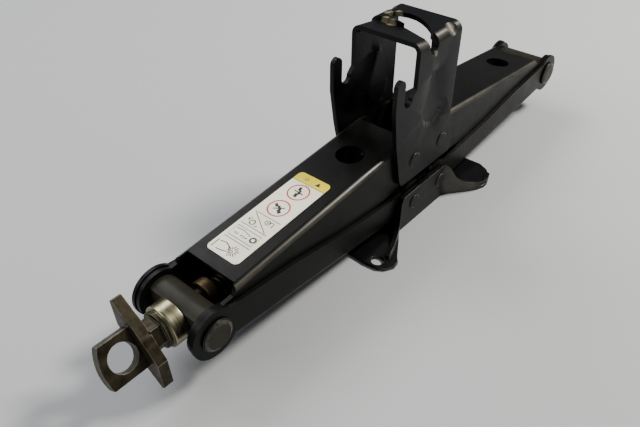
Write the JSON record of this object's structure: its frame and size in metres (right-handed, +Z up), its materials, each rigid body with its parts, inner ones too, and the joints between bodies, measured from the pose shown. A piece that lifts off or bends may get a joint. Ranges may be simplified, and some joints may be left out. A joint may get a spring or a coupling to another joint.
{
  "type": "scissor jack",
  "caption": "Collapsed screw-driven scissor jack: channel-section arms geared in pairs on a flared base, crank eye with wings, and a tall forked saddle with a slotted top.",
  "frame": {"origin": "centre of the base's underside", "axes": "+X along the screw from the crank eye to the nut end, +Z up, +Y across the arms"},
  "size_m": [0.4428, 0.094, 0.129],
  "materials": {
    "black_plate": "satin black e-coat",
    "black_arm": "satin black e-coat",
    "black_rivet": "satin black e-coat over peened steel",
    "washer_steel": "dull steel",
    "screw_steel": "oiled steel, cut thread",
    "head_steel": "forged and passivated, brownish",
    "bearing_zinc": "zinc plated, warm",
    "bearing_ball": "polished balls",
    "cage_brass": "stamped cage",
    "sticker": "printed sticker"
  },
  "bodies": {
    "base": {"base": "black_plate", "base_pin_drive": "black_rivet", "base_pin_nut": "black_rivet", "base_washers": "washer_steel"},
    "lower_arm_drive": {"lower_arm_drive": "black_arm"},
    "lower_arm_nut": {"lower_arm_nut": "black_arm"},
    "drive_trunnion": {"drive_trunnion": "black_rivet", "drive_washers": "black_rivet", "race_rear": "bearing_zinc", "bearing_shell": "bearing_zinc"},
    "screw": {"lead_screw": "screw_steel", "crank_eye": "head_steel", "screw_collar": "head_steel", "race_front": "bearing_zinc", "thrust_balls": "bearing_ball", "ball_cage": "cage_brass", "retaining_collar": "washer_steel"},
    "upper_arm_drive": {"upper_arm_drive": "black_arm", "label": "sticker"},
    "saddle": {"saddle": "black_plate", "saddle_pin_drive": "black_rivet", "saddle_pin_nut": "black_rivet"},
    "nut_trunnion": {"nut_trunnion": "black_rivet", "nut_washers": "black_rivet"},
    "upper_arm_nut": {"upper_arm_nut": "black_arm"}
  },
  "joints": [
    {"name": "fold", "type": "hinge", "parent": "base", "child": "lower_arm_drive", "pos_m": [-0.016, 0, 0.017], "axis": [0, 1, 0], "range_deg": [0, 45]},
    {"name": "lower_nut_pivot", "type": "hinge", "parent": "base", "child": "lower_arm_nut", "pos_m": [0.016, 0, 0.017], "axis": [0, -1, 0], "range_deg": [0, 45]},
    {"name": "drive_trunnion_lower", "type": "hinge", "parent": "lower_arm_drive", "child": "drive_trunnion", "pos_m": [-0.188, 0, 0.033], "axis": [0, -1, 0], "range_deg": [0, 45]},
    {"name": "screw_turn", "type": "hinge", "parent": "drive_trunnion", "child": "screw", "pos_m": [-0.188, 0, 0.033], "axis": [1, 0, 0], "continuous": true},
    {"name": "drive_trunnion_upper", "type": "hinge", "parent": "drive_trunnion", "child": "upper_arm_drive", "pos_m": [-0.188, 0, 0.033], "axis": [0, -1, 0], "range_deg": [0, 45]},
    {"name": "saddle_pivot", "type": "hinge", "parent": "upper_arm_drive", "child": "saddle", "pos_m": [-0.016, 0, 0.049], "axis": [0, 1, 0], "range_deg": [0, 45]},
    {"name": "nut_trunnion_lower", "type": "hinge", "parent": "lower_arm_nut", "child": "nut_trunnion", "pos_m": [0.188, 0, 0.033], "axis": [0, 1, 0], "range_deg": [0, 45]},
    {"name": "nut_trunnion_upper", "type": "hinge", "parent": "nut_trunnion", "child": "upper_arm_nut", "pos_m": [0.188, 0, 0.033], "axis": [0, 1, 0], "range_deg": [0, 45]}
  ],
  "couplings": [
    {"joint": "lower_nut_pivot", "follows": "fold", "ratio": 1},
    {"joint": "drive_trunnion_lower", "follows": "fold", "ratio": 1},
    {"joint": "drive_trunnion_upper", "follows": "fold", "ratio": 1},
    {"joint": "saddle_pivot", "follows": "fold", "ratio": 1},
    {"joint": "nut_trunnion_lower", "follows": "fold", "ratio": 1},
    {"joint": "nut_trunnion_upper", "follows": "fold", "ratio": 1}
  ]
}
